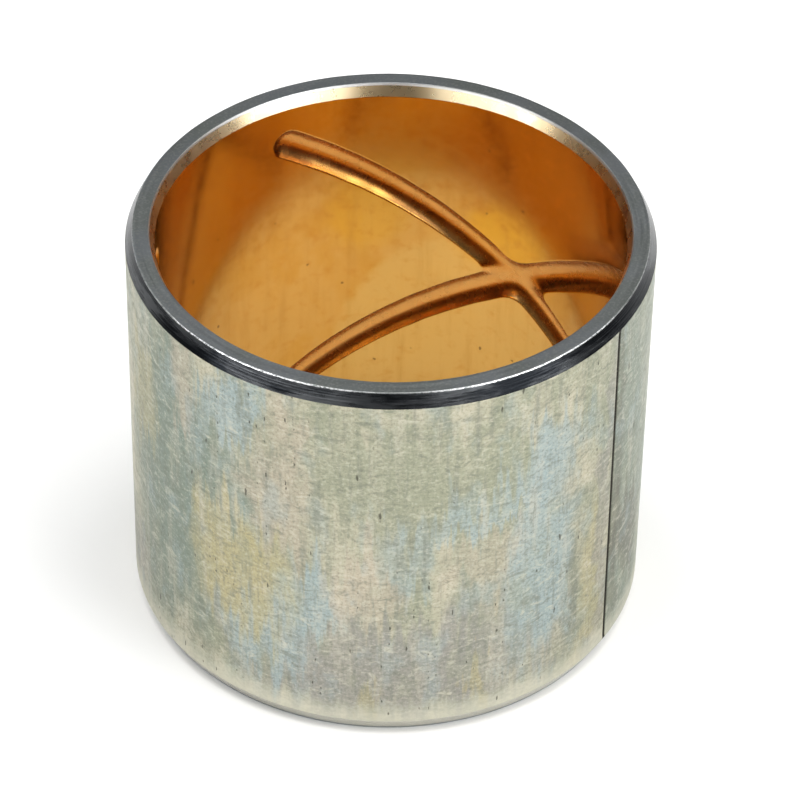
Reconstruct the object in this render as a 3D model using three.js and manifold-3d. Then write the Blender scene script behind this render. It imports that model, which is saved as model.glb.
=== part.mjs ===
// A wrapped sleeve bush: a steel strip with a bonded bronze lining, rolled into a tube whose
// two ends butt at an axial seam. Crossed oil grooves are pressed into the strip while it is
// flat, its outside is tin-plated, and its ends are turned square and chamfered afterwards.
// Frame: the bore axis is Z, the lower end face is z = 0, and the seam faces +X.
import * as THREE from "three";
import { mergeVertices } from "three/addons/utils/BufferGeometryUtils.js";
import Module from "manifold-3d";

// Driving dimensions, in millimetres and degrees.
const BORE_RADIUS = 20;
const OUTER_RADIUS = 22.5;
const LENGTH = 38;
const LINING = 0.4;
const PLATING = 0.01;
const TOP_CHAMFER = { radial: 0.64, axial: 1.25 };
const BOTTOM_CHAMFER = { radial: 0.77, axial: 1.5 };
const BORE_CHAMFER = { radial: 0.5, axial: 1.2 };
const SEAM_GAP = 0.1;
const LEAN = 0.7; // how far the strip was rolled out of square
const GROOVE_HELIX = 32.8;
const GROOVE_TILT = 0.25; // how far the groove pattern was pressed out of square
const GROOVE_HALF_LENGTH = 25.7; // from the crossing to the centre of a rounded end
const GROOVE_TOOL = 1.8; // radius of the rounded rib that presses the groove
const GROOVE_DEPTH = 0.75;
const CROSSINGS = [87.8, -87.8]; // angle from the seam to each pair of crossed grooves

// Derived radii.
const BOND_RADIUS = BORE_RADIUS + LINING;
const BACKING_RADIUS = OUTER_RADIUS - PLATING;
const TOOL_PATH_RADIUS = BORE_RADIUS + GROOVE_DEPTH - GROOVE_TOOL;

// Fineness of the faceted surfaces.
const ROUND_SEGMENTS = 96;
const TOOL_SIDES = 12;
const TOOL_STEPS = 14;

const wasm = await Module();
wasm.setup();

function solidFrom(geometry) {
  const bare = geometry.clone();
  bare.deleteAttribute("normal");
  bare.deleteAttribute("uv");
  const merged = mergeVertices(bare, 1e-4);
  return new wasm.Manifold(
    new wasm.Mesh({
      numProp: 3,
      vertProperties: new Float32Array(merged.attributes.position.array),
      triVerts: new Uint32Array(merged.index.array),
    }),
  );
}

function meshFrom(name, solid, material) {
  const { vertProperties, triVerts, numProp } = solid.getMesh();
  const points = new THREE.InterleavedBuffer(new Float32Array(vertProperties), numProp);
  const geometry = new THREE.BufferGeometry();
  geometry.setAttribute("position", new THREE.InterleavedBufferAttribute(points, 3, 0));
  geometry.setIndex(new THREE.BufferAttribute(new Uint32Array(triVerts), 1));
  const mesh = new THREE.Mesh(geometry.toNonIndexed(), material);
  mesh.geometry.computeVertexNormals();
  mesh.name = name;
  return mesh;
}

// A full ring about Z from an outline of [radius, height] corners, counter-clockwise.
function ring(corners) {
  const outline = [...corners, corners[0]].map(([radius, height]) => new THREE.Vector2(radius, height));
  return solidFrom(new THREE.LatheGeometry(outline, ROUND_SEGMENTS).rotateX(Math.PI / 2));
}

// Distance from the end face to where a chamfer passes a depth below the surface it breaks.
const chamferReach = (chamfer, depth) => chamfer.axial * (1 - depth / chamfer.radial);

// A straight line on the flat strip, wrapped to a radius: a short piece of a helix.
class WrappedLine extends THREE.Curve {
  constructor(radius, crossing, slope) {
    super();
    Object.assign(this, { radius, crossing, slope });
  }

  getPoint(t, target = new THREE.Vector3()) {
    const along = (2 * t - 1) * GROOVE_HALF_LENGTH;
    const angle = this.crossing + (along * Math.cos(this.slope)) / BORE_RADIUS;
    const height = LENGTH / 2 + along * Math.sin(this.slope);
    return target.set(this.radius * Math.cos(angle), this.radius * Math.sin(angle), height);
  }
}

// A round-ended rod along one wrapped line, as thick as the pressing rib or the bulge behind it.
function grooveRod(line, thickness) {
  const section = new THREE.Shape().absarc(0, 0, thickness, 0, 2 * Math.PI);
  const options = {
    extrudePath: line,
    steps: TOOL_STEPS,
    curveSegments: TOOL_SIDES / 2,
    bevelEnabled: false,
  };
  const rod = solidFrom(new THREE.ExtrudeGeometry(section, options));
  const ends = [0, 1].map((t) => {
    const ball = new THREE.SphereGeometry(thickness, TOOL_SIDES, TOOL_SIDES / 2);
    const { x, y, z } = line.getPoint(t);
    return solidFrom(ball.translate(x, y, z));
  });
  return ends.reduce((joined, end) => joined.add(end), rod);
}

// The rods of every groove in the bush, joined.
function allGrooves(thickness) {
  const slopes = [GROOVE_HELIX, 180 - GROOVE_HELIX].map((helix) => {
    return THREE.MathUtils.degToRad(helix + GROOVE_TILT);
  });
  const rods = CROSSINGS.flatMap((crossing) => {
    const turn = THREE.MathUtils.degToRad(crossing);
    return slopes.map((slope) => grooveRod(new WrappedLine(TOOL_PATH_RADIUS, turn, slope), thickness));
  });
  return rods.reduce((joined, rod) => joined.add(rod));
}

// The thin leaning slab that parts the two butted ends of the strip.
function seamSlab() {
  const reach = OUTER_RADIUS - BORE_RADIUS + 2;
  const slab = new THREE.BoxGeometry(reach, SEAM_GAP, LENGTH + 2);
  slab.rotateX(THREE.MathUtils.degToRad(LEAN));
  slab.translate((OUTER_RADIUS + BORE_RADIUS) / 2, 0, LENGTH / 2);
  return solidFrom(slab);
}

const grooves = allGrooves(GROOVE_TOOL);
const bulges = allGrooves(GROOVE_TOOL + LINING);
const seam = seamSlab();

const boreEdge = BORE_RADIUS + BORE_CHAMFER.radial;
const boreReach = chamferReach(BORE_CHAMFER, LINING);

// Steel backing: the full wall behind the lining, with its bare turned ends and chamfers.
function steelBacking() {
  const wall = ring([
    [boreEdge, 0],
    [OUTER_RADIUS - BOTTOM_CHAMFER.radial, 0],
    [BACKING_RADIUS, chamferReach(BOTTOM_CHAMFER, PLATING)],
    [BACKING_RADIUS, LENGTH - chamferReach(TOP_CHAMFER, PLATING)],
    [OUTER_RADIUS - TOP_CHAMFER.radial, LENGTH],
    [boreEdge, LENGTH],
    [BOND_RADIUS, LENGTH - boreReach],
    [BOND_RADIUS, boreReach],
  ]);
  return wall.subtract(bulges).subtract(seam);
}

// Bronze lining: an even layer that follows the grooves down into the backing.
function bronzeLining() {
  const layer = ring([
    [BORE_RADIUS, BORE_CHAMFER.axial],
    [BOND_RADIUS, boreReach],
    [BOND_RADIUS, LENGTH - boreReach],
    [BORE_RADIUS, LENGTH - BORE_CHAMFER.axial],
  ]);
  const boreSpace = ring([
    [0, 0],
    [BORE_RADIUS, 0],
    [BORE_RADIUS, LENGTH],
    [0, LENGTH],
  ]);
  return layer.add(bulges).subtract(boreSpace).subtract(grooves).subtract(seam);
}

// Tin flash plating: a skin on the outside only, cut away where the chamfers were turned.
function tinPlating() {
  const skin = ring([
    [BACKING_RADIUS, chamferReach(BOTTOM_CHAMFER, PLATING)],
    [OUTER_RADIUS, BOTTOM_CHAMFER.axial],
    [OUTER_RADIUS, LENGTH - TOP_CHAMFER.axial],
    [BACKING_RADIUS, LENGTH - chamferReach(TOP_CHAMFER, PLATING)],
  ]);
  return skin.subtract(seam);
}

const steel = new THREE.MeshStandardMaterial({ color: 0x6c7073, roughness: 0.42, metalness: 1 });
const bronze = new THREE.MeshStandardMaterial({ color: 0xc98a45, roughness: 0.3, metalness: 1 });
const tin = new THREE.MeshStandardMaterial({ color: 0xa9a993, roughness: 0.5, metalness: 0.9 });

const bush = new THREE.Group();
bush.add(meshFrom("steel_backing", steelBacking(), steel));
bush.add(meshFrom("bronze_lining", bronzeLining(), bronze));
bush.add(meshFrom("tin_flash_plating", tinPlating(), tin));

export default bush;
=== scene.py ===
"""Looks of a wrapped sleeve bush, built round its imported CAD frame.

The bush is a steel strip with a bronze lining, rolled into a tube. Three pieces stand for the three
CAD layers: the steel backing with its turned ends, the bronze lining with its pressed oil grooves,
and the tin plating on the outside. Lengths are in metres, and the seam faces +X, as in the frame.
"""

import math

import bpy
import numpy as np
from mathutils import Matrix, Vector


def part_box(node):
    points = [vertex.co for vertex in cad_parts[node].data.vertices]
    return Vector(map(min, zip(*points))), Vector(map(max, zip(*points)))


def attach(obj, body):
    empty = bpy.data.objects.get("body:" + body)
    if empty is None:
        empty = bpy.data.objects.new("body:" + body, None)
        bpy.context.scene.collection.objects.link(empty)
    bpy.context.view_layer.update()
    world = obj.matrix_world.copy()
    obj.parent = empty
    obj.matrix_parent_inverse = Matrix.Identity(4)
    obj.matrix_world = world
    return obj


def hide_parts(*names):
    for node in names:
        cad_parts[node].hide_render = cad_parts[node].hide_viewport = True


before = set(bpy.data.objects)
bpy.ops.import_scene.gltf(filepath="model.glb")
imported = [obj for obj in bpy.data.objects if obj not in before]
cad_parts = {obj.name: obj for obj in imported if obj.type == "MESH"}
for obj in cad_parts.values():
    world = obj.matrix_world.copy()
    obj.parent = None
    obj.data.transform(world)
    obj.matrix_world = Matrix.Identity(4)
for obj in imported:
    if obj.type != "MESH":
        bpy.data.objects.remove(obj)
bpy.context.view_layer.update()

MM = 0.001

# Sizes taken from the frame.
_, backing_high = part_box("steel_backing")
lining_low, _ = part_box("bronze_lining")
_, plating_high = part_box("tin_flash_plating")
LENGTH = backing_high.z
BACKING_RADIUS = backing_high.y
OUTER_RADIUS = plating_high.y
BOND_RADIUS = -lining_low.x
MIDDLE = LENGTH / 2

# Sizes that the boxes don't give.
LINING = 0.4 * MM
BORE_RADIUS = BOND_RADIUS - LINING
TOP_CHAMFER = (0.64 * MM, 1.25 * MM)  # radial, axial
BOTTOM_CHAMFER = (0.77 * MM, 1.5 * MM)
BORE_CHAMFER = (0.5 * MM, 1.2 * MM)
LEAN = math.radians(0.7)  # the strip was rolled slightly out of square
SEAM_HALF_GAP = 0.05 * MM
SEAM_CLOSED = 0.006 * MM  # half of the gap where the ends were turned
SEAM_CLOSING = 3 * MM  # distance from each end face in which the gap closes
SEAM_ROUNDING = 0.25 * MM
ROUNDING_RUNOUT = 0.3 * MM  # distance from each chamfer in which the rounding runs out
WALL_ROWS = np.array([0, 0.1, 0.2, 0.3, 0.7, 1.1, 1.6]) * MM  # rows of the steel's wall near each end

# Oil grooves, laid out on the unrolled bore.
CROSSINGS = [math.radians(87.8), math.radians(360 - 87.8)]
SLOPES = [math.radians(33.05), math.radians(180 - 32.55)]
GROOVE_HALF_LENGTH = 25.7 * MM
GROOVE_RADIUS = 1.8 * MM
GROOVE_DEPTH = 0.75 * MM
GROOVE_WALL = math.radians(54)  # steepest slope of a groove's wall
GROOVE_LIP = 0.12 * MM
GROOVE_FORK = 1.4 * MM  # rounding of the corners where two grooves cross

# Fineness of the meshes.
COLUMNS = 600  # round the steel and the plating, away from the seam
PLATING_ROWS = 64
CELL_WIDE, CELL_TALL = 4, 8  # lattice steps across and up a coarse cell of the bore
CELLS_ROUND, CELLS_UP = 262, 37


# ---------------------------------------------------------------- shape helpers


def ripples(seed, *coordinates, pitch, count=24):
    """Smooth random waves of about -1 to 1 over the coordinates, each about one pitch long."""
    rng = np.random.default_rng(seed)
    points = np.stack(np.broadcast_arrays(*coordinates), -1)
    directions = rng.normal(size=(count, points.shape[-1]))
    directions /= np.linalg.norm(directions, axis=1)[:, None]
    lengths = pitch * rng.uniform(0.7, 1.6, count)
    phases = rng.uniform(0, 2 * np.pi, count)
    total = np.zeros(points.shape[:-1])
    for direction, length, phase in zip(directions, lengths, phases):
        total += np.sin(points @ direction * (2 * np.pi / length) + phase)
    return total * math.sqrt(2 / count) / 1.6


def ease(value, start, end):
    """0 before start, 1 after end, and smooth between them."""
    share = np.clip((value - start) / (end - start), 0, 1)
    return share * share * (3 - 2 * share)


def seam_turn(radius, height):
    """Angle of the leaning seam's middle plane at a radius and height."""
    return -(height - MIDDLE) * math.tan(LEAN) / radius


def seam_rounding(distance):
    """How far the rounded edge of the strip falls away at a distance from its end."""
    inside = np.clip(SEAM_ROUNDING - distance, 0, SEAM_ROUNDING)
    return SEAM_ROUNDING - np.sqrt(SEAM_ROUNDING**2 - inside**2)


def groove_distance(turn, height):
    """Distance on the unrolled bore from the middle of the nearest groove, rounded at the forks."""
    nearest = np.full(np.broadcast(turn, height).shape, np.inf)
    for crossing in CROSSINGS:
        arc = (turn - crossing) * BORE_RADIUS
        rise = height - MIDDLE
        arms = []
        for slope in SLOPES:
            along = arc * math.cos(slope) + rise * math.sin(slope)
            along = np.clip(along, -GROOVE_HALF_LENGTH, GROOVE_HALF_LENGTH)
            arms.append(np.hypot(arc - along * math.cos(slope), rise - along * math.sin(slope)))
        first, second = arms
        share = np.clip(0.5 + 0.5 * (second - first) / GROOVE_FORK, 0, 1)
        joined = second + (first - second) * share - GROOVE_FORK * share * (1 - share)
        nearest = np.minimum(nearest, joined)
    return np.maximum(nearest, 0)


def groove_depth(distance, thicker=0.0, lip=GROOVE_LIP):
    """Depth of a round-bottomed groove at a distance from its middle line."""
    radius = GROOVE_RADIUS + thicker
    edge = radius * math.sin(GROOVE_WALL)
    bottom = np.sqrt(radius**2 - np.minimum(distance, edge) ** 2) - (radius - GROOVE_DEPTH)
    wall = np.maximum(distance - edge, 0) * math.tan(GROOVE_WALL)
    depth = bottom - wall
    blend = np.clip(0.5 + 0.5 * depth / lip, 0, 1)
    return depth * blend + lip * blend * (1 - blend)


def bore_radius(turn, height):
    """Radius of the lining's worn inner surface."""
    arc = turn * BORE_RADIUS
    wobble = 0.012 * MM * ripples(11, arc, height, pitch=3.0 * MM)
    depth = groove_depth(groove_distance(turn, height) + wobble)
    waves = 0.004 * MM * ripples(12, arc, height * 0.35, pitch=6 * MM)
    waves += 0.0012 * MM * ripples(13, arc, height * 0.2, pitch=1.6 * MM)
    return BORE_RADIUS + depth + waves


def bore_normals(turn, height):
    """Unit normals of the lining's inner surface, which point to the axis."""
    step = 0.02 * MM

    def place(turn, height):
        return around(turn, bore_radius(turn, height), height)

    rise = place(turn, height + step) - place(turn, height - step)
    arc = place(turn + step / BORE_RADIUS, height) - place(turn - step / BORE_RADIUS, height)
    normals = np.cross(rise, arc)
    return normals / np.linalg.norm(normals, axis=-1)[..., None]


def bond_radius(turn, height):
    """Radius of the surface on which the lining meets the steel."""
    depth = groove_depth(groove_distance(turn, height), thicker=LINING)
    return BOND_RADIUS + depth


def around(turn, radius, height):
    """Points of the strip at an angle from the seam, a radius and a height.

    The gap between the strip's two ends closes towards the end faces.
    """
    near_face = 1 - ease(np.minimum(height, LENGTH - height), 0, SEAM_CLOSING)
    closing = (SEAM_HALF_GAP - SEAM_CLOSED) / radius * near_face
    closing = closing * (1 - np.minimum(turn, 2 * np.pi - turn) / np.pi)
    angle = turn + seam_turn(radius, height) - closing * np.sign(np.pi - turn)
    place = (radius * np.cos(angle), radius * np.sin(angle), height)
    return np.stack(np.broadcast_arrays(*place), -1)


def make_piece(name, points, faces, material, node, normals=None):
    """A smooth mesh object that rides on the body and replaces one CAD node.

    Without normals, its last two faces, the ends of the strip, stay flat.
    """
    mesh = bpy.data.meshes.new(name)
    mesh.from_pydata(points.tolist(), [], faces)
    mesh.validate()
    mesh.shade_smooth()
    if normals is not None:
        mesh.normals_split_custom_set_from_vertices(normals.tolist())
    else:
        for end in mesh.polygons[-2:]:
            end.use_smooth = False
    mesh.materials.append(material)
    piece = bpy.data.objects.new(name, mesh)
    bpy.context.scene.collection.objects.link(piece)
    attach(piece, "root")
    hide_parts(node)
    return piece


def strip_columns(count, radius):
    """Angles from one end of the rolled strip to the other, closer together near the seam."""
    gap = SEAM_HALF_GAP / radius

    # Distances from an end of the strip, in millimetres, which follow the rounded edge.
    near = np.array([0, 0.01, 0.022, 0.036, 0.052, 0.07, 0.09, 0.112, 0.135, 0.17, 0.24])
    near = near * MM / radius
    start = gap + near[-1] + 0.1 * MM / radius
    middle = np.linspace(start, 2 * np.pi - start, count)
    return np.concatenate([gap + near, middle, 2 * np.pi - gap - near[::-1]])


def swept_faces(rows, columns):
    """Quads of a closed outline with that many rows, swept through the columns, and two end caps."""
    faces = []
    for row in range(rows):
        upper = (row + 1) % rows
        for column in range(columns - 1):
            here, there = row * columns + column, upper * columns + column
            faces.append((here, here + 1, there + 1, there))
    faces.append([row * columns for row in range(rows)])
    faces.append([row * columns + columns - 1 for row in reversed(range(rows))])
    return faces


def line(start, end, count):
    """Points along a straight stretch of an outline, without its last point."""
    shares = np.arange(count) / count
    return np.outer(1 - shares, start) + np.outer(shares, end)


def corner(before, point, after, radius, count=4):
    """Points of a small arc that rounds one corner of an outline."""
    point = np.array(point)
    back = np.array(before) - point
    ahead = np.array(after) - point
    back, ahead = back / np.linalg.norm(back), ahead / np.linalg.norm(ahead)
    half = math.acos(float(np.clip(back @ ahead, -1, 1))) / 2
    reach = radius / math.tan(half)
    middle = (back + ahead) / np.linalg.norm(back + ahead)
    centre = point + middle * radius / math.sin(half)
    first, last = point + back * reach - centre, point + ahead * reach - centre
    sweep = math.pi - 2 * half
    shares = np.linspace(0, 1, count + 1)
    arc = [
        (math.sin((1 - share) * sweep) * first + math.sin(share * sweep) * last) / math.sin(sweep)
        for share in shares
    ]
    return centre + np.array(arc)


# ---------------------------------------------------------------- the three layers


def chamfer_reach(chamfer, depth):
    """Distance from the end face to where a chamfer passes a depth below the surface it breaks."""
    radial, axial = chamfer
    return axial * (1 - depth / radial)


def steel_outline():
    """Outline of the steel's section, counter-clockwise, and a name for the part each point is on."""
    skin = OUTER_RADIUS - BACKING_RADIUS
    inner_edge = BORE_RADIUS + BORE_CHAMFER[0]
    bond_reach = chamfer_reach(BORE_CHAMFER, LINING)
    corners = {
        "low_inner": (inner_edge, 0),
        "low_outer": (OUTER_RADIUS - BOTTOM_CHAMFER[0], 0),
        "low_wall": (BACKING_RADIUS, chamfer_reach(BOTTOM_CHAMFER, skin)),
        "high_wall": (BACKING_RADIUS, LENGTH - chamfer_reach(TOP_CHAMFER, skin)),
        "high_outer": (OUTER_RADIUS - TOP_CHAMFER[0], LENGTH),
        "high_inner": (inner_edge, LENGTH),
        "high_bond": (BOND_RADIUS, LENGTH - bond_reach),
        "low_bond": (BOND_RADIUS, bond_reach),
    }

    # The part that starts at each corner, its number of points and the corner's rounding.
    stretches = {
        "low_inner": ("low_face", 10, 0.03 * MM),
        "low_outer": ("low_chamfer", 22, 0.08 * MM),
        "low_wall": ("wall", 2 * len(WALL_ROWS), None),
        "high_wall": ("high_chamfer", 40, None),
        "high_outer": ("high_face", 12, 0.045 * MM),
        "high_inner": ("bore_break", 4, 0.03 * MM),
        "high_bond": ("bond", 38, None),
        "low_bond": ("bore_break", 3, None),
    }
    names = list(corners)
    points, parts = [], []
    for index, name in enumerate(names):
        before, here = corners[names[index - 1]], corners[name]
        after = corners[names[(index + 1) % len(names)]]
        part, count, rounding = stretches[name]
        if rounding:
            arc = corner(before, here, after, rounding)
            points.extend(arc)
            parts.extend([name] * len(arc))
            here = arc[-1]
        stretch = line(here, after, count)[1 if rounding else 0 :]
        if part == "wall":
            stretch[:, 1] = np.concatenate([here[1] + WALL_ROWS, after[1] - WALL_ROWS[::-1]])
        points.extend(stretch)
        parts.extend([part] * len(stretch))
    return np.array(points), np.array(parts)


def tool_marks(distance, turn, seed):
    """Depth of the fine rings that turning leaves, at a distance along the turned surface."""
    rng = np.random.default_rng(seed)
    depth = np.zeros(np.broadcast(distance, turn).shape)
    for pitch in (0.19, 0.23, 0.31, 0.47):
        phase = rng.uniform(0, 2 * np.pi)
        drift = 0.25 * np.sin(turn * rng.integers(1, 4) + rng.uniform(0, 6))
        depth += np.sin(distance * (2 * np.pi / (pitch * MM)) + phase + drift)
    return 0.25 * depth


def build_steel(material):
    """The backing: its section swept round, with turned chamfers and a rounded seam."""
    outline, parts = steel_outline()
    turn = strip_columns(COLUMNS, OUTER_RADIUS)[None, :]
    radius = np.repeat(outline[:, :1], turn.size, 1)
    height = np.repeat(outline[:, 1:], turn.size, 1)
    from_seam = np.minimum(turn, 2 * np.pi - turn) * OUTER_RADIUS - SEAM_HALF_GAP

    wall = (parts == "wall")[:, None]
    reach = np.minimum(height - BOTTOM_CHAMFER[1], LENGTH - TOP_CHAMFER[1] - height)
    inset = 0.03 * MM  # keeps the steel's rounding well inside the plating's
    rounding = seam_rounding(np.maximum(from_seam - inset, 0)) * ease(reach, 0, ROUNDING_RUNOUT)
    radius -= np.where(wall, rounding + 0.002 * MM, 0)

    bond = (parts == "bond")[:, None]
    radius = np.where(bond, bond_radius(turn, height) + 0.002 * MM, radius)

    for part, chamfer, base, side in (
        ("high_chamfer", TOP_CHAMFER, LENGTH, 1),
        ("low_chamfer", BOTTOM_CHAMFER, 0, -1),
    ):
        on = (parts == part)[:, None]
        size = math.hypot(*chamfer)
        along = np.abs(base - height) / chamfer[1] * size
        fade = ease(along, 0, 0.1 * MM) * ease(size - along, 0, 0.06 * MM)
        cut = 0.003 * MM * (1 + tool_marks(along, turn, 21)) * fade
        radius -= np.where(on, cut * chamfer[1] / size, 0)
        height -= np.where(on, cut * chamfer[0] / size * side, 0)

    # The burr on the edge between the top face and its chamfer is uneven.
    edge = (parts == "high_outer")[:, None]
    arc = turn * OUTER_RADIUS
    uneven = 0.008 * MM * ripples(23, arc, pitch=5 * MM)
    radius += np.where(edge, uneven, 0)

    points = around(turn, radius, height).reshape(-1, 3)
    faces = swept_faces(len(outline), turn.size)
    piece = make_piece("steel_shell", points, faces, material, "steel_backing")
    return piece


def build_plating(material):
    """The tin coat: a skin between the two chamfers, with a slightly wavy outside."""
    low, high = BOTTOM_CHAMFER[1], LENGTH - TOP_CHAMFER[1]
    skin = OUTER_RADIUS - BACKING_RADIUS
    turn = strip_columns(COLUMNS, OUTER_RADIUS)[None, :]
    edges = np.array([0, 0.05, 0.1, 0.2]) * MM
    outer = np.linspace(low + 0.5 * MM, high - 0.5 * MM, PLATING_ROWS)
    outer = np.concatenate([low + edges, outer, high - edges[::-1]])
    inner = np.array([LENGTH - chamfer_reach(TOP_CHAMFER, skin), high - 0.5 * MM])
    inner = np.concatenate([inner, [low + 0.5 * MM, chamfer_reach(BOTTOM_CHAMFER, skin)]])
    height = np.concatenate([outer, inner])[:, None]
    base = np.repeat([OUTER_RADIUS, BACKING_RADIUS], [len(outer), len(inner)])[:, None]
    from_seam = np.minimum(turn, 2 * np.pi - turn) * OUTER_RADIUS - SEAM_HALF_GAP
    arc = turn * OUTER_RADIUS
    reach = np.minimum(height - low, high - height)
    waves = 0.5 + 0.5 * ripples(31, arc, height * 0.5, pitch=7 * MM)
    waves = 0.006 * MM * waves * ease(reach, 0, 2 * MM)
    radius = base - seam_rounding(from_seam) * ease(reach, 0, ROUNDING_RUNOUT) - waves
    height = np.repeat(height, turn.size, 1)
    points = around(turn, radius, height).reshape(-1, 3)
    faces = swept_faces(len(height), turn.size)
    piece = make_piece("tin_plate", points, faces, material, "tin_flash_plating")
    return piece


def bore_cells(distance):
    """Cells of the bore's lattice: first column, first row, width and height in lattice steps.

    Cells near a groove are smaller, and those along its lips are the smallest.
    """
    beside = 2.4 * MM  # distance from a groove's middle line to where the cells grow
    lip_start, lip_end = 0.9 * MM, 1.8 * MM
    blocks = distance[:-1, :-1].reshape(CELLS_ROUND, CELL_WIDE, CELLS_UP, CELL_TALL)
    nearest, farthest = blocks.min((1, 3)), blocks.max((1, 3))
    steps = np.full(nearest.shape, 0)
    steps[nearest < beside] = 2
    steps[(nearest < lip_end) & (farthest > lip_start)] = 1
    cells = []
    for (i, j), step in np.ndenumerate(steps):
        wide, tall = (step, step) if step else (CELL_WIDE, CELL_TALL)
        for a in range(i * CELL_WIDE, (i + 1) * CELL_WIDE, wide):
            for b in range(j * CELL_TALL, (j + 1) * CELL_TALL, tall):
                cells.append((a, b, wide, tall))
    return cells


def cell_faces(cells, number):
    """Faces of the cells. The bore faces the axis, so they run clockwise when unrolled."""
    faces = []
    for a, b, wide, tall in cells:
        loop = [number[a, k] for k in range(b, b + tall)]
        loop += [number[k, b + tall] for k in range(a, a + wide)]
        loop += [number[a + wide, k] for k in range(b + tall, b, -1)]
        loop += [number[k, b] for k in range(a + wide, a, -1)]
        faces.append([int(n) for n in loop if n >= 0])
    return faces


def build_lining(material):
    """The bronze layer: a bore on a lattice, and coarse rows for its chamfers and bonded back."""
    across, up = CELLS_ROUND * CELL_WIDE, CELLS_UP * CELL_TALL
    gap = SEAM_HALF_GAP / BORE_RADIUS
    turn = np.linspace(gap, 2 * np.pi - gap, across + 1)
    low, high = BORE_CHAMFER[1], LENGTH - BORE_CHAMFER[1]
    height = np.linspace(low, high, up + 1)
    turns, heights = np.meshgrid(turn, height, indexing="ij")

    # Only the lattice points that a cell has a corner on are kept and numbered.
    cells = bore_cells(groove_distance(turns, heights))
    used = np.zeros(turns.shape, bool)
    for a, b, wide, tall in cells:
        used[[a, a + wide, a, a + wide], [b, b, b + tall, b + tall]] = True
    number = np.full(turns.shape, -1)
    number[used] = np.arange(used.sum())
    faces = cell_faces(cells, number)
    points = [around(turns[used], bore_radius(turns[used], heights[used]), heights[used])]
    normals = [bore_normals(turns[used], heights[used])]
    count = int(used.sum())

    # Chamfers and the bonded back, on the coarse columns only.
    columns = list(range(0, across + 1, CELL_WIDE))
    coarse = turn[columns]
    bond_reach = chamfer_reach(BORE_CHAMFER, LINING)
    bore_row = {"low": number[columns, 0].tolist(), "high": number[columns, up].tolist()}

    def add_row(radius, level, tip=None):
        """One more ring of points; tip is its normal's slant, or None to leave it to Blender."""
        nonlocal count
        points.append(around(coarse, radius, np.full(coarse.shape, level)))
        normal = np.zeros((len(columns), 3))
        if tip is not None:
            inward = np.stack([-np.cos(coarse), -np.sin(coarse), np.zeros_like(coarse)], -1)
            normal = inward * math.cos(tip) + np.array([0, 0, math.sin(tip)])
        normals.append(normal)
        count += len(columns)
        return list(range(count - len(columns), count))

    def join(first, second):
        """Faces between two rings."""
        for k in range(len(columns) - 1):
            faces.append((first[k], second[k], second[k + 1], first[k + 1]))

    shares = [0.06, 0.14, 0.3, 0.5, 0.7, 0.9, 1.0]
    slant = math.atan(BORE_CHAMFER[0] / BORE_CHAMFER[1])
    top = [bore_row["high"]]
    for share in shares:
        level = high + share * (LENGTH - bond_reach - high)
        top.append(add_row(BORE_RADIUS + share * LINING, level, slant))
    back = [add_row(bond_radius(coarse, level), level) for level in height[::CELL_TALL][::-1]]
    bottom = []
    for share in shares[::-1]:
        level = low - share * (low - bond_reach)
        bottom.append(add_row(BORE_RADIUS + share * LINING, level, -slant))
    rows = top + back + bottom + [bore_row["low"]]
    for first, second in zip(rows, rows[1:]):
        join(first, second)

    side = [number[0, b] for b in range(0, up + 1) if used[0, b]]
    far_side = [number[across, b] for b in range(0, up + 1) if used[across, b]]
    shell = rows[1:-1]
    faces.append([int(n) for n in side[::-1]] + [row[0] for row in shell[::-1]])
    faces.append([int(n) for n in far_side] + [row[-1] for row in shell])

    points, normals = np.concatenate(points), np.concatenate(normals)
    piece = make_piece("bronze_liner", points, faces, material, "bronze_lining", normals)
    return piece


# ---------------------------------------------------------------- materials


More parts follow.
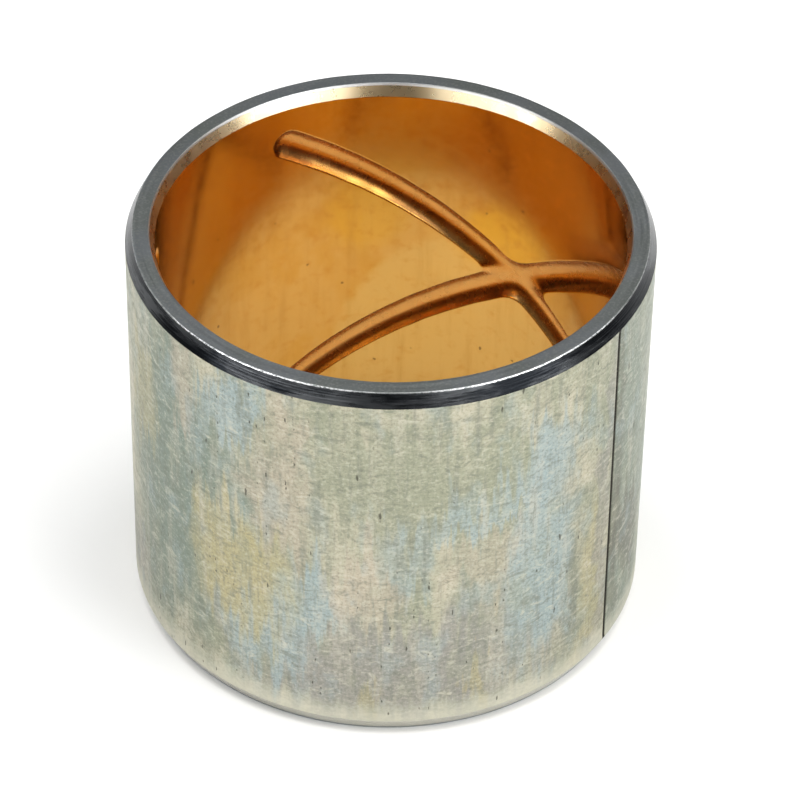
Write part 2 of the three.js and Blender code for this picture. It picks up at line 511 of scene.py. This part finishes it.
class Shader:
    """A node material, with short calls for the nodes that every surface here repeats."""

    def __init__(self, name):
        self.material = bpy.data.materials.new(name)
        self.material.use_nodes = True
        self.tree = self.material.node_tree
        self.surface = self.tree.nodes["Principled BSDF"]
        place = self.node("ShaderNodeTexCoord").outputs["Object"]
        self.place = self.vector("SCALE", place, scale=1 / MM)
        x, y, self.height = self.split(self.place)
        square = self.math("ADD", self.math("MULTIPLY", x, x), self.math("MULTIPLY", y, y))
        self.radius = self.math("SQRT", square)

        # The angle is measured from the leaning seam, and jumps there from a full turn to 0.
        turn = self.math("ARCTAN2", self.math("MULTIPLY", y, -1), self.math("MULTIPLY", x, -1))
        climb = self.math("SUBTRACT", self.height, MIDDLE / MM)
        climb = self.math("MULTIPLY", climb, math.tan(LEAN))
        from_seam = self.math("ADD", turn, self.math("DIVIDE", climb, self.radius))
        self.turn = self.math("WRAP", self.math("ADD", from_seam, math.pi), 2 * math.pi, 0.0)

    def node(self, kind, **settings):
        made = self.tree.nodes.new(kind)
        for name, value in settings.items():
            setattr(made, name, value)
        return made

    def feed(self, socket, value):
        if isinstance(value, bpy.types.NodeSocket):
            self.tree.links.new(value, socket)
        elif value is not None:
            socket.default_value = value

    def math(self, operation, *values):
        made = self.node("ShaderNodeMath", operation=operation)
        for socket, value in zip(made.inputs, values):
            self.feed(socket, value)
        return made.outputs[0]

    def vector(self, operation, first, second=None, scale=None):
        made = self.node("ShaderNodeVectorMath", operation=operation)
        self.feed(made.inputs[0], first)
        self.feed(made.inputs[1], second)
        if scale is not None:
            self.feed(made.inputs["Scale"], scale)
        return made.outputs["Value" if operation == "LENGTH" else "Vector"]

    def split(self, vector):
        made = self.node("ShaderNodeSeparateXYZ")
        self.feed(made.inputs[0], vector)
        return made.outputs[0], made.outputs[1], made.outputs[2]

    def join(self, x, y, z):
        made = self.node("ShaderNodeCombineXYZ")
        for socket, value in zip(made.inputs, (x, y, z)):
            self.feed(socket, value)
        return made.outputs[0]

    def strip(self, radius, across=1.0, along=1.0, offset=0.0):
        """Place on the unrolled strip in millimetres, stretched across and along the bore's axis."""
        arc = self.math("MULTIPLY", self.turn, radius / MM / across)
        return self.join(arc, self.math("DIVIDE", self.height, along), offset)

    def beside_seam(self):
        """Distance round the outside from the middle of the seam, in millimetres."""
        turn = self.math("MINIMUM", self.turn, self.math("SUBTRACT", 2 * math.pi, self.turn))
        return self.math("MULTIPLY", turn, OUTER_RADIUS / MM)

    def noise(self, vector, pitch, detail=3.0, roughness=0.5, distortion=0.0):
        made = self.node("ShaderNodeTexNoise")
        self.feed(made.inputs["Vector"], vector)
        self.feed(made.inputs["Scale"], 1 / pitch)
        self.feed(made.inputs["Detail"], detail)
        self.feed(made.inputs["Roughness"], roughness)
        self.feed(made.inputs["Distortion"], distortion)
        return made.outputs[0]

    def spread(self, value, low, high, to_low=0.0, to_high=1.0):
        """Value from low to high becomes to_low to to_high, smoothly, and stays there beyond them."""
        made = self.node("ShaderNodeMapRange", interpolation_type="SMOOTHSTEP")
        for socket, number in zip(made.inputs, (value, low, high, to_low, to_high)):
            self.feed(socket, number)
        return made.outputs[0]

    def mix(self, share, first, second, blend="MIX"):
        made = self.node("ShaderNodeMix", data_type="RGBA", blend_type=blend)
        self.feed(made.inputs[0], share)
        for socket, value in zip(made.inputs[6:8], (first, second)):
            self.feed(socket, (*value, 1) if isinstance(value, tuple) else value)
        return made.outputs[2]

    def bump(self, height, depth, normal=None):
        """Depth is in metres for a height that goes from 0 to 1."""
        made = self.node("ShaderNodeBump")
        self.feed(made.inputs["Strength"], 1.0)
        self.feed(made.inputs["Distance"], depth)
        self.feed(made.inputs["Height"], height)
        self.feed(made.inputs["Normal"], normal)
        return made.outputs[0]


def blotch(s, place, radius, turn, height, wide, tall, lean=0.0, soft=0.35):
    """1 inside an oval stain at a turn in degrees and a height in millimetres, 0 well outside it."""
    made = s.node("ShaderNodeMapping", vector_type="TEXTURE")
    s.feed(made.inputs["Vector"], place)
    made.inputs["Location"].default_value = (math.radians(turn) * radius / MM, height, 0)
    made.inputs["Rotation"].default_value = (0, 0, math.radians(lean))
    made.inputs["Scale"].default_value = (wide, tall, 1)
    return s.spread(s.vector("LENGTH", made.outputs[0]), 1 + soft, 1 - soft)


def paint(s, place, radius, zones, tone):
    """The tone with oval zones laid over it in turn, each with its own colour and strength."""
    for turn, height, wide, tall, lean, colour, strength in zones:
        mask = blotch(s, place, radius, turn, height, wide, tall, lean)
        tone = s.mix(s.math("MULTIPLY", mask, strength), tone, colour)
    return tone


def specks(s, place, size, share, seed):
    """1 at the middle of scattered specks, most of them missing, and 0 between them."""
    made = s.node("ShaderNodeTexVoronoi", voronoi_dimensions="2D")
    wander = s.math("SUBTRACT", s.noise(place, size * 1.2, detail=1), 0.5)
    jitter = s.math("MULTIPLY", wander, size * 2.2)
    shift = s.join(seed, s.math("ADD", jitter, seed * 0.37), 0)
    s.feed(made.inputs["Vector"], s.vector("ADD", place, shift))
    made.inputs["Scale"].default_value = 1.0
    chosen, varied, _ = s.split(made.outputs["Color"])
    limit = s.math("MULTIPLY_ADD", varied, size * 0.7, size * 0.3)
    dot = s.spread(s.math("DIVIDE", made.outputs["Distance"], limit), 1.0, 0.45)
    return s.math("MULTIPLY", dot, s.math("LESS_THAN", chosen, share))


def steel_material():
    """Bare steel with fine turning rings: grey end faces, darker top chamfer, a pale lower chamfer that
    is partly a painted reflection, and a painted highlight along the top corner.
    """
    s = Shader("bare_turned_steel")
    across = s.math("ADD", s.radius, s.math("MULTIPLY", s.height, 0.6))
    circle = s.join(s.math("COSINE", s.turn), s.math("SINE", s.turn), 0)
    rings = s.join(0, 0, s.math("MULTIPLY", across, 9.0))
    rings = s.vector("ADD", s.vector("SCALE", circle, scale=2.5), rings)
    fine = s.noise(rings, 1.0, detail=4, roughness=0.7)
    broad = s.noise(s.place, 4.0, detail=3)
    grain = s.noise(s.place, 0.22, detail=2)
    face_edge = (OUTER_RADIUS - TOP_CHAMFER[0]) / MM
    bore_edge = (BORE_RADIUS + BORE_CHAMFER[0]) / MM
    outer = s.spread(s.radius, face_edge - 0.02, face_edge + 0.06)
    inner = s.spread(s.radius, bore_edge + 0.02, bore_edge - 0.04)
    face = s.mix(s.spread(broad, 0.35, 0.65), (0.27, 0.29, 0.275), (0.30, 0.32, 0.33))
    face = s.mix(s.spread(grain, 0.45, 0.75, 0, 0.6), face, (0.42, 0.43, 0.42))
    edge = s.mix(s.spread(fine, 0.42, 0.66), (0.015, 0.017, 0.02), (0.095, 0.10, 0.105))
    # The lower chamfer is painted pale, partly its own finish and partly a painted reflection of the
    # bright floor below it.
    upper = s.spread(s.height, MIDDLE / MM - 1, MIDDLE / MM + 1)
    tone = s.mix(outer, face, s.mix(upper, (0.60, 0.58, 0.50), edge))
    tone = s.mix(inner, tone, (0.84, 0.86, 0.86))

    # A painted highlight runs along the corner between the upper face and its chamfer, strongest in two
    # stretches.
    off_corner = s.math("SUBTRACT", s.radius, face_edge + 0.01)
    corner = s.spread(s.math("ABSOLUTE", off_corner), 0.06, 0.02)
    place = s.strip(OUTER_RADIUS)
    left = blotch(s, place, OUTER_RADIUS, 269, LENGTH / MM, 9, 9)
    right = blotch(s, place, OUTER_RADIUS, 338, LENGTH / MM, 10, 9)
    grainy = s.spread(s.noise(s.place, 0.22, detail=3, roughness=0.8), 0.36, 0.6)
    highlight_stretches = s.math("MULTIPLY_ADD", s.math("MAXIMUM", left, right), 0.8, 0.2)
    painted_corner_highlight = s.math("MULTIPLY", s.math("MULTIPLY", corner, highlight_stretches), grainy)
    painted_corner_highlight = s.math("MULTIPLY", painted_corner_highlight, upper)
    tone = s.mix(painted_corner_highlight, tone, (0.92, 0.93, 0.93))

    # The walls of the seam's gap below the upper chamfer are painted dark, as painted shade in the gap.
    wall_top = (LENGTH - TOP_CHAMFER[1]) / MM
    below = s.spread(s.height, wall_top, wall_top - 0.4)
    gap = s.math("MULTIPLY", s.spread(s.beside_seam(), 0.09, 0.055), below)
    tone = s.mix(gap, tone, (0.03, 0.028, 0.022))
    s.feed(s.surface.inputs["Base Color"], tone)
    gloss = s.math("MULTIPLY_ADD", outer, -0.14, s.spread(fine, 0.3, 0.7, 0.34, 0.44))
    s.feed(s.surface.inputs["Roughness"], gloss)
    s.surface.inputs["Metallic"].default_value = 1.0
    s.feed(s.surface.inputs["Normal"], s.bump(fine, 0.0012 * MM))
    return s.material


def bronze_material():
    """Worn bronze: drawn along the axis, duller in the pressed grooves, pale where turned."""
    s = Shader("leaded_bronze_lining")
    place = s.strip(BORE_RADIUS)
    drawn = s.noise(s.strip(BORE_RADIUS, across=1, along=9), 1.3, detail=4, roughness=0.6)
    stretched = s.strip(BORE_RADIUS, across=1, along=1.5)
    cloudy = s.noise(stretched, 6.0, detail=4, roughness=0.55, distortion=0.5)
    mottle = s.noise(place, 1.4, detail=4, roughness=0.6)
    upper = s.spread(s.height, MIDDLE / MM - 1, MIDDLE / MM + 1)
    near_end = s.math("ABSOLUTE", s.math("SUBTRACT", s.height, MIDDLE / MM))
    chamfer_start = (MIDDLE - BORE_CHAMFER[1]) / MM
    turned = s.spread(near_end, chamfer_start - 0.02, chamfer_start + 0.04)
    tone = s.mix(s.spread(cloudy, 0.38, 0.62), (0.73, 0.40, 0.075), (0.77, 0.455, 0.115))
    wavy = s.vector("ADD", place, s.join(s.math("MULTIPLY", mottle, 1.2), mottle, 0))
    # A pale-gold oval low in the bore is a painted reflection of the lit floor inside the bore.
    painted_pale_reflection = blotch(s, wavy, BORE_RADIUS, 105, 8.5, 11.5, 14, 15, soft=0.06)
    tone = s.mix(s.math("MULTIPLY", painted_pale_reflection, 0.8), tone, (0.81, 0.545, 0.165))
    # Orange ovals at mid height are a painted orange reflection, and dark brown ovals near the top are
    # a painted dark reflection, the shaded band below the rim.
    painted_orange_reflection, painted_dark_band = (0.86, 0.49, 0.055), (0.52, 0.24, 0.055)
    zones = [
        (92, 24.0, 5.0, 3.4, -30, painted_orange_reflection, 0.8),
        (130, 24.5, 3.5, 4.0, 0, painted_orange_reflection, 0.5),
        (176, 33.0, 10.0, 9.0, 0, painted_dark_band, 0.6),
        (72, 33.0, 14.0, 7.0, 0, painted_dark_band, 0.85),
    ]
    tone = paint(s, wavy, BORE_RADIUS, zones, tone)
    tone = s.mix(s.spread(mottle, 0.5, 0.8, 0, 0.5), tone, (0.66, 0.31, 0.05))
    tone = s.mix(s.spread(drawn, 0.45, 0.8, 0, 0.4), tone, (0.60, 0.31, 0.06))
    dots = specks(s, s.vector("SCALE", place, scale=0.3), 0.07, 0.16, 5)
    tone = s.mix(s.math("MULTIPLY", dots, 0.7), tone, (0.20, 0.11, 0.04))

    # The groove walls that face up are painted dark as a painted dark reflection, except in one stretch
    # left bright for a highlight on the lower walls, and the walls that face down are painted a little
    # dark as painted shade.
    bore = BORE_RADIUS / MM
    sunk = s.spread(s.radius, bore + 0.03, bore + 0.14)
    pressed = s.math("MULTIPLY", sunk, s.math("SUBTRACT", 1, turned))
    tone = s.mix(s.math("MULTIPLY", pressed, 0.65), tone, (0.80, 0.40, 0.12))
    _, _, facing_up = s.split(s.node("ShaderNodeTexCoord").outputs["Normal"])
    smear_and_highlit_stretch = blotch(s, place, BORE_RADIUS, 130, 28.5, 7.5, 4, -33, soft=0.2)
    highlit_stretch = s.math("MULTIPLY", smear_and_highlit_stretch, s.spread(facing_up, 0.37, 0.49))
    painted_wall_shade = s.math("MULTIPLY", s.spread(facing_up, 0.12, 0.26), s.math("SUBTRACT", 1, highlit_stretch))
    painted_underside_shade = s.math("MULTIPLY", s.spread(facing_up, -0.42, -0.56), 0.6)
    painted_groove_shade = s.math("MULTIPLY", s.math("MAXIMUM", painted_wall_shade, painted_underside_shade), pressed)
    tone = s.mix(s.math("MULTIPLY", painted_groove_shade, 0.8), tone, (0.26, 0.115, 0.04))

    # The turned chamfers are pale at the top. One stretch of the top chamfer is painted dark brown, a
    # painted reflection of something dark.
    turned_tone = s.mix(upper, (0.62, 0.36, 0.12), (0.92, 0.77, 0.50))
    painted_dark_reflection = blotch(s, place, BORE_RADIUS, 122.5, 37.4, 3.4, 3.0)
    turned_tone = s.mix(s.math("MULTIPLY", painted_dark_reflection, 0.75), turned_tone, (0.42, 0.31, 0.17))
    tone = s.mix(turned, tone, turned_tone)
    s.feed(s.surface.inputs["Base Color"], tone)
    gloss = s.math("MULTIPLY_ADD", pressed, 0.1, s.spread(mottle, 0.3, 0.7, 0.13, 0.2))
    s.feed(s.surface.inputs["Roughness"], s.math("MULTIPLY_ADD", turned, 0.12, gloss))
    s.surface.inputs["Metallic"].default_value = 1.0
    plain = s.math("SUBTRACT", 1, s.math("MAXIMUM", turned, pressed))
    relief = s.math("MULTIPLY", drawn, plain)
    s.feed(s.surface.inputs["Normal"], s.bump(relief, 0.003 * MM))
    return s.material


# Colours of the stained tin.
BEIGE = (0.475, 0.445, 0.335)
KHAKI = (0.315, 0.325, 0.235)
YELLOW = (0.43, 0.375, 0.20)
BLUE = (0.325, 0.395, 0.395)
SLATE = (0.205, 0.25, 0.205)
MAUVE = (0.285, 0.275, 0.25)
PINK = (0.47, 0.405, 0.315)
DIRT = (0.13, 0.125, 0.09)

# Each stain's turn in degrees, height, half width and half height in millimetres, lean in
# degrees, colour and strength. Later ones lie over earlier ones.
STAINS = [
    (301, 6.5, 9.5, 6.0, 0, MAUVE, 0.85),
    (327, 7.5, 6.5, 8.0, 0, MAUVE, 0.6),
    (276, 6.5, 5.5, 6.0, 0, MAUVE, 0.5),
    (274, 9.0, 4.5, 4.5, 0, BLUE, 0.8),
    (285, 15.0, 3.8, 4.0, 0, BLUE, 0.9),
    (337, 17.0, 3.4, 12.0, -4, BLUE, 0.85),
    (338, 28.0, 4.5, 4.0, 30, BLUE, 0.7),
    (322, 24.5, 6.0, 1.6, 20, BLUE, 0.8),
    (306, 20.0, 2.2, 4.0, 0, BLUE, 0.6),
    (261, 30.0, 2.2, 10.0, -35, BLUE, 0.85),
    (249, 22.0, 6.0, 15.0, 0, SLATE, 0.95),
    (240, 20.0, 4.0, 22.0, 0, SLATE, 0.6),
    (0, 20.0, 6.0, 24.0, 0, SLATE, 0.5),
    (268, 25.5, 4.5, 3.6, 0, SLATE, 0.8),
    (306, 29.0, 9.0, 6.0, 10, KHAKI, 0.8),
    (296, 16.5, 3.0, 4.0, 0, PINK, 0.7),
    (278, 27.0, 2.6, 9.0, 0, PINK, 0.7),
    (323, 19.0, 3.5, 3.0, 0, PINK, 0.5),
    (254, 32.0, 1.6, 4.0, 0, PINK, 0.6),
    (267, 15.5, 4.6, 6.5, 15, YELLOW, 0.8),
    (354, 9.0, 2.0, 12.0, 0, YELLOW, 0.6),
    (235, 27.0, 2.6, 5.0, 0, YELLOW, 0.6),
    (299, 4.0, 1.4, 3.0, 0, YELLOW, 0.6),
    (322, 4.5, 1.2, 3.0, 0, YELLOW, 0.6),
    (12, 22.0, 8.0, 24.0, 0, SLATE, 0.6),
    (8, 12.0, 2.6, 6.0, 25, DIRT, 0.75),
    (2, 19.0, 0.8, 20.0, 0, DIRT, 0.5),
    (357, 19.0, 1.0, 20.0, 0, MAUVE, 0.6),
    (345, 13.0, 0.9, 4.0, 0, DIRT, 0.4),
    (40, 12.0, 6.0, 8.0, 0, BLUE, 0.7),
    (60, 5.5, 6.0, 4.0, 0, MAUVE, 0.7),
    (72, 25.0, 5.0, 8.0, 10, PINK, 0.6),
    (96, 9.0, 8.0, 6.0, 0, MAUVE, 0.7),
    (106, 18.0, 3.5, 6.0, 0, BLUE, 0.8),
    (124, 28.0, 6.0, 4.5, -20, BLUE, 0.7),
    (148, 13.0, 4.5, 8.0, 0, YELLOW, 0.6),
    (166, 7.0, 8.0, 5.0, 0, MAUVE, 0.8),
    (172, 24.0, 5.0, 9.0, 0, SLATE, 0.7),
    (190, 33.0, 7.0, 3.0, 0, PINK, 0.6),
    (202, 11.0, 5.0, 6.0, 0, BLUE, 0.8),
    (218, 6.0, 6.0, 5.0, 0, MAUVE, 0.7),
]


def tin_pits(s, place):
    """1 in the pits of the tin. Small ones lie in rows along the axis, where scratches ran."""
    rows = s.noise(s.strip(OUTER_RADIUS, across=1, along=12), 1.7, detail=2)
    small = specks(s, s.vector("MULTIPLY", place, (1.5, 0.7, 1)), 0.17, 0.3, 3)
    large = specks(s, s.vector("MULTIPLY", place, (0.5, 0.16, 1)), 0.085, 0.22, 8)
    return s.math("MAXIMUM", s.math("MULTIPLY", small, s.spread(rows, 0.52, 0.6)), large)


def tin_material():
    """Stained tin flash: feathered stains, axial streaks, a fine grain and scattered pits."""
    s = Shader("stained_tin_flash")
    place = s.strip(OUTER_RADIUS)
    fine_streaks = s.noise(s.strip(OUTER_RADIUS, across=1, along=14), 0.45, detail=3, roughness=0.6)
    streaks = s.noise(s.strip(OUTER_RADIUS, across=1, along=9), 1.6, detail=4, roughness=0.6)
    stretched = s.strip(OUTER_RADIUS, across=1, along=1.8)
    patches = s.noise(stretched, 7.0, detail=5, roughness=0.6, distortion=0.8)
    grain = s.noise(place, 0.3, detail=3, roughness=0.7)
    squeezed = s.vector("MULTIPLY", place, (0.7, 1.4, 1))
    mottle = s.noise(squeezed, 1.2, detail=4, roughness=0.65, distortion=1.2)

    # Stain edges run out in feathers along the axis, as if wiped while wet.
    feather = s.noise(s.strip(OUTER_RADIUS, across=1, along=10), 1.1, detail=3, roughness=0.6)
    push = s.math("MULTIPLY", s.math("SUBTRACT", feather, 0.5), 22.0)
    drift = s.math("MULTIPLY", s.math("SUBTRACT", patches, 0.5), 9.0)
    smear_and_highlit_stretch = s.vector("ADD", place, s.join(drift, push, 0))

    tone = s.mix(s.spread(patches, 0.4, 0.6), KHAKI, BEIGE)
    tone = paint(s, smear_and_highlit_stretch, OUTER_RADIUS, STAINS, tone)
    shifted = s.strip(OUTER_RADIUS, across=1, along=2.2, offset=7)
    hue = s.noise(shifted, 2.6, detail=4, roughness=0.6)
    tone = s.mix(s.spread(hue, 0.52, 0.68, 0, 0.4), tone, BLUE)
    tone = s.mix(s.spread(hue, 0.48, 0.34, 0, 0.4), tone, KHAKI)
    tone = s.mix(s.spread(streaks, 0.5, 0.72, 0, 0.45), tone, (0.54, 0.50, 0.40))
    tone = s.mix(s.spread(streaks, 0.46, 0.28, 0, 0.5), tone, (0.20, 0.21, 0.17))
    tone = s.mix(s.spread(fine_streaks, 0.5, 0.75, 0, 0.5), tone, (0.20, 0.21, 0.175))
    tone = s.mix(s.spread(mottle, 0.5, 0.72, 0, 0.6), tone, (0.20, 0.215, 0.17))
    tone = s.mix(s.spread(mottle, 0.48, 0.26, 0, 0.6), tone, (0.57, 0.54, 0.43))
    tone = s.mix(s.spread(grain, 0.5, 0.66, 0, 0.42), tone, (0.15, 0.155, 0.12))
    tone = s.mix(s.spread(grain, 0.46, 0.32, 0, 0.32), tone, (0.62, 0.61, 0.52))
    lower_edge = s.math("ADD", s.height, s.math("MULTIPLY", feather, 2.0))
    tone = s.mix(s.spread(lower_edge, 5.5, 2.5, 0, 0.7), tone, (0.60, 0.585, 0.48))
    # The rounded edges beside the seam are painted dark, as painted shade in the seam.
    tone = s.mix(s.spread(s.beside_seam(), 0.26, 0.12), tone, (0.03, 0.028, 0.022))
    pits = tin_pits(s, place)
    tone = s.mix(s.math("MULTIPLY", pits, 0.8), tone, (0.07, 0.065, 0.05))

    s.feed(s.surface.inputs["Base Color"], tone)
    s.feed(s.surface.inputs["Roughness"], s.spread(mottle, 0.3, 0.7, 0.38, 0.5))
    s.surface.inputs["Metallic"].default_value = 1.0
    rough = s.bump(mottle, 0.005 * MM, s.bump(grain, 0.003 * MM, s.bump(fine_streaks, 0.004 * MM)))
    s.feed(s.surface.inputs["Normal"], s.bump(s.math("SUBTRACT", 1, pits), 0.03 * MM, rough))
    return s.material


def floor_material():
    """Plain pale board."""
    s = Shader("pale_floor")
    cloud = s.noise(s.place, 90.0, detail=2)
    tone = s.mix(s.spread(cloud, 0.3, 0.7), (0.86, 0.86, 0.85), (0.88, 0.88, 0.875))
    s.feed(s.surface.inputs["Base Color"], tone)
    s.surface.inputs["Roughness"].default_value = 0.7
    return s.material


# ---------------------------------------------------------------- stage, light and camera

CAMERA_TURN = math.radians(31.5)
CAMERA_TILT = math.radians(40.38)
CAMERA_ROLL = math.radians(1.06)
CAMERA_DISTANCE = 0.3616
CAMERA_LENS = 186.0
AIM_SIDEWAYS = 1.01 * MM
AIM_HEIGHT = 18.69 * MM


def add_camera():
    """The camera, above the bush and turned from -Y towards the seam, aimed near its middle."""
    camera = bpy.data.objects.new("camera", bpy.data.cameras.new("camera"))
    camera.data.sensor_width = 36.0
    camera.data.lens = CAMERA_LENS
    camera.data.clip_start = 0.01
    turn = Matrix.Rotation(CAMERA_TURN, 4, "Z")
    tilt = Matrix.Rotation(math.pi / 2 - CAMERA_TILT, 4, "X")
    roll = Matrix.Rotation(CAMERA_ROLL, 4, "Z")
    aim = turn @ Vector((AIM_SIDEWAYS, 0, 0)) + Vector((0, 0, AIM_HEIGHT))
    back = turn @ tilt @ Vector((0, 0, CAMERA_DISTANCE))
    camera.matrix_world = Matrix.Translation(aim + back) @ turn @ tilt @ roll
    bpy.context.scene.collection.objects.link(camera)
    bpy.context.scene.camera = camera


def add_softbox(name, turn, rise, distance, width, tall, radiance):
    """A soft lamp at an angle from the camera's side and a height angle, facing the bush."""
    light = bpy.data.lights.new(name, "AREA")
    light.shape = "RECTANGLE"
    light.size, light.size_y = width, tall
    light.energy = radiance * math.pi * width * tall
    lamp = bpy.data.objects.new(name, light)
    angle = CAMERA_TURN + math.radians(turn)
    lift = math.radians(rise)
    away = Vector((math.sin(angle) * math.cos(lift), -math.cos(angle) * math.cos(lift), math.sin(lift)))
    lamp.location = away * distance + Vector((0, 0, MIDDLE))
    lamp.rotation_euler = away.to_track_quat("Z", "Y").to_euler()
    lamp.visible_camera = False
    bpy.context.scene.collection.objects.link(lamp)


def add_stage():
    """Pale floor, dim room light and soft boxes."""
    size = 0.8
    count = 24
    grid = np.linspace(-size / 2, size / 2, count + 1)
    x, y = np.meshgrid(grid, grid, indexing="ij")
    points = np.stack([x, y, np.zeros_like(x)], -1).reshape(-1, 3)
    corner = np.arange((count + 1) ** 2).reshape(count + 1, count + 1)
    corners = [corner[:-1, :-1], corner[1:, :-1], corner[1:, 1:], corner[:-1, 1:]]
    faces = np.stack(corners, -1).reshape(-1, 4).tolist()
    mesh = bpy.data.meshes.new("floor")
    mesh.from_pydata(points.tolist(), [], faces)
    mesh.materials.append(floor_material())
    floor = bpy.data.objects.new("floor", mesh)
    bpy.context.scene.collection.objects.link(floor)

    world = bpy.data.worlds.new("studio")
    world.use_nodes = True
    background = world.node_tree.nodes["Background"]
    background.inputs["Color"].default_value = (0.95, 0.97, 1.0, 1)
    background.inputs["Strength"].default_value = 0.15
    bpy.context.scene.world = world
    bpy.context.scene.view_settings.view_transform = "Standard"

    # Name, turn from the camera's side, rise, distance, width, height and radiance.
    add_softbox("overhead_box", 0, 88, 0.6, 0.34, 0.27, 7.0)
    add_softbox("left_box", -95, 56, 0.6, 0.85, 0.26, 3.2)
    add_softbox("right_box", 95, 56, 0.6, 0.85, 0.26, 3.2)
    add_softbox("right_window", 56, 26, 0.6, 0.42, 0.22, 4.8)
    add_softbox("left_card", -43, 3, 0.6, 0.62, 0.08, 8.0)
    add_softbox("right_card", 43, 3, 0.6, 0.62, 0.08, 8.0)


build_steel(steel_material())
build_lining(bronze_material())
build_plating(tin_material())
add_camera()
add_stage()
